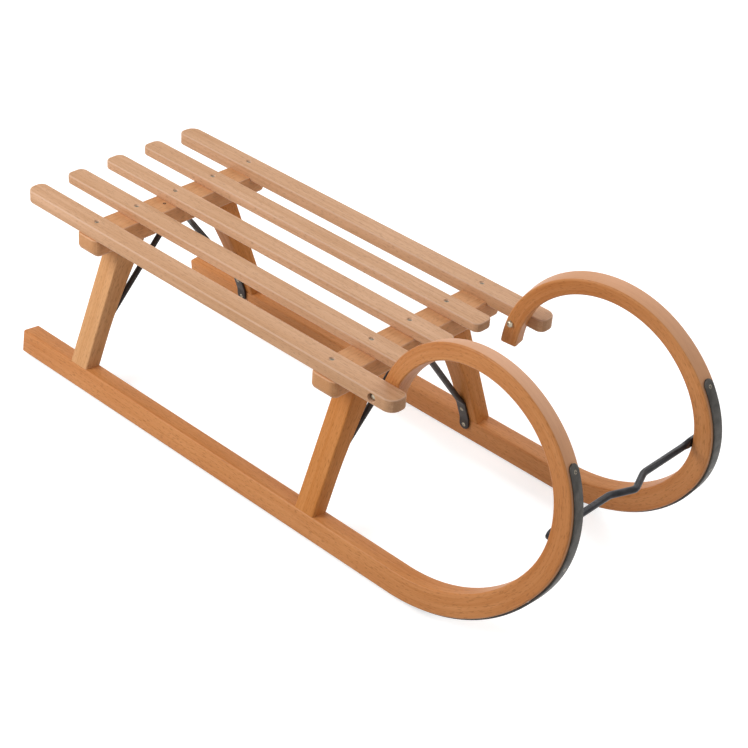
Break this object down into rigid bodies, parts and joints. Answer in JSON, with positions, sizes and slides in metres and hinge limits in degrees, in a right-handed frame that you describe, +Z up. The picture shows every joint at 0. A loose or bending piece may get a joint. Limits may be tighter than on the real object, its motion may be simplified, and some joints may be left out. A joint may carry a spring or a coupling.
{
  "type": "horned wooden sled",
  "caption": "Wooden toboggan with bent beech runners that curl into horns, splayed legs, slatted seat, steel-shod undersides and a tow bar, to be sat on and pulled over snow.",
  "frame": {"origin": "on the ground, under the middle of the length and width", "axes": "+X forward to the horns, +Y to the left, +Z up"},
  "size_m": [1.0741, 0.3938, 0.4096],
  "materials": {
    "beech": "clear satin lacquer on beech",
    "shoe_steel": "dark rolled steel strip, slightly worn",
    "black_steel": "black satin coating on bent rod",
    "bolt_steel": "zinc-plated, bright"
  },
  "bodies": {
    "root": {"runner_left": "beech", "runner_right": "beech", "leg_front_left": "beech", "leg_front_right": "beech", "leg_rear_left": "beech", "leg_rear_right": "beech", "bearer_front": "beech", "bearer_rear": "beech", "slat_outer_right": "beech", "slat_inner_right": "beech", "slat_middle": "beech", "slat_inner_left": "beech", "slat_outer_left": "beech", "shoe_left": "shoe_steel", "shoe_right": "shoe_steel", "brace_front": "black_steel", "brace_rear": "black_steel", "tow_bar": "black_steel", "horn_bolt_left": "bolt_steel", "horn_bolt_right": "bolt_steel"}
  },
  "joints": []
}
